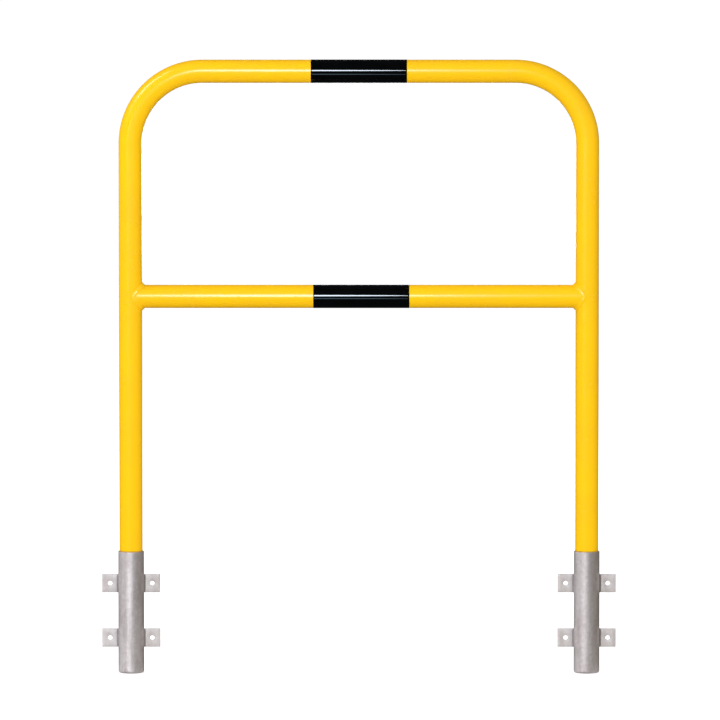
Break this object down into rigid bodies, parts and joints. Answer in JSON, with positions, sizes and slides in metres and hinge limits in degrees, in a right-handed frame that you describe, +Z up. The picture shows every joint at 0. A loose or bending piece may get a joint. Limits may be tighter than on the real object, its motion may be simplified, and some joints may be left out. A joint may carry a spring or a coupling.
{
  "type": "safety hoop barrier",
  "caption": "Removable tube hoop with a knee rail and black bands, standing in galvanised ground sockets with drilled anchor tabs.",
  "frame": {"origin": "at ground level, midway between the two ground sockets: the sockets' upper rims lie in the plane z = 0", "axes": "+Z up, along the legs; +X to the right seen from the front; +Y to the back, through the hoop's opening"},
  "size_m": [1.0736, 0.054, 1.2833],
  "materials": {
    "yellow_powder_coat": "gloss",
    "black_film": "gloss",
    "galvanised_steel": "hot-dip galvanised"
  },
  "bodies": {
    "ground_sockets": {"left_socket_tube": "galvanised_steel", "left_socket_upper_outer_tab": "galvanised_steel", "left_socket_upper_outer_tab_weld": "galvanised_steel", "left_socket_upper_inner_tab": "galvanised_steel", "left_socket_upper_inner_tab_weld": "galvanised_steel", "left_socket_lower_outer_tab": "galvanised_steel", "left_socket_lower_outer_tab_weld": "galvanised_steel", "left_socket_lower_inner_tab": "galvanised_steel", "left_socket_lower_inner_tab_weld": "galvanised_steel", "right_socket_tube": "galvanised_steel", "right_socket_upper_outer_tab": "galvanised_steel", "right_socket_upper_outer_tab_weld": "galvanised_steel", "right_socket_upper_inner_tab": "galvanised_steel", "right_socket_upper_inner_tab_weld": "galvanised_steel", "right_socket_lower_outer_tab": "galvanised_steel", "right_socket_lower_outer_tab_weld": "galvanised_steel", "right_socket_lower_inner_tab": "galvanised_steel", "right_socket_lower_inner_tab_weld": "galvanised_steel"},
    "hoop": {"hoop_tube": "yellow_powder_coat", "knee_rail": "yellow_powder_coat", "knee_rail_welds": "yellow_powder_coat", "top_rail_band": "black_film", "knee_rail_band": "black_film"}
  },
  "joints": [
    {"name": "hoop_lift", "type": "slide", "parent": "ground_sockets", "child": "hoop", "axis": [0, 0, 1], "range_m": [0, 0.26]}
  ]
}
